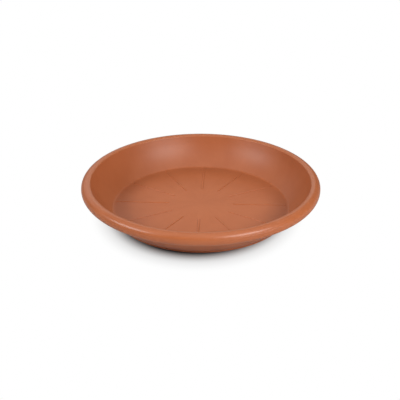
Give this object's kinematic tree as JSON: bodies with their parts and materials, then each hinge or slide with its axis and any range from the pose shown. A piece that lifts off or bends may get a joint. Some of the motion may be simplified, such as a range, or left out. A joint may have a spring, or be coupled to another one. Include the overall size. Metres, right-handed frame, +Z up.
{
  "type": "plant saucer",
  "caption": "Round shallow plastic saucer for a plant pot, with a flared wall, a rolled rim, a foot ring and radial ribs on the floor that hold the pot off the water.",
  "frame": {"origin": "centre of the foot ring on the plane that the saucer stands on", "axes": "+Z up along the axis of the saucer, from the foot to the rim; +X along one of the floor ribs"},
  "size_m": [0.3, 0.3, 0.0435],
  "materials": {
    "terracotta_plastic": "satin moulded polypropylene, coloured through"
  },
  "bodies": {
    "root": {"floor_plate": "terracotta_plastic", "foot_ring": "terracotta_plastic", "side_wall": "terracotta_plastic", "rim_ledge": "terracotta_plastic", "rolled_lip": "terracotta_plastic", "gate_mark": "terracotta_plastic", "floor_rib_01": "terracotta_plastic", "floor_rib_02": "terracotta_plastic", "floor_rib_03": "terracotta_plastic", "floor_rib_04": "terracotta_plastic", "floor_rib_05": "terracotta_plastic", "floor_rib_06": "terracotta_plastic", "floor_rib_07": "terracotta_plastic", "floor_rib_08": "terracotta_plastic", "floor_rib_09": "terracotta_plastic", "floor_rib_10": "terracotta_plastic", "floor_rib_11": "terracotta_plastic", "floor_rib_12": "terracotta_plastic"}
  },
  "joints": []
}
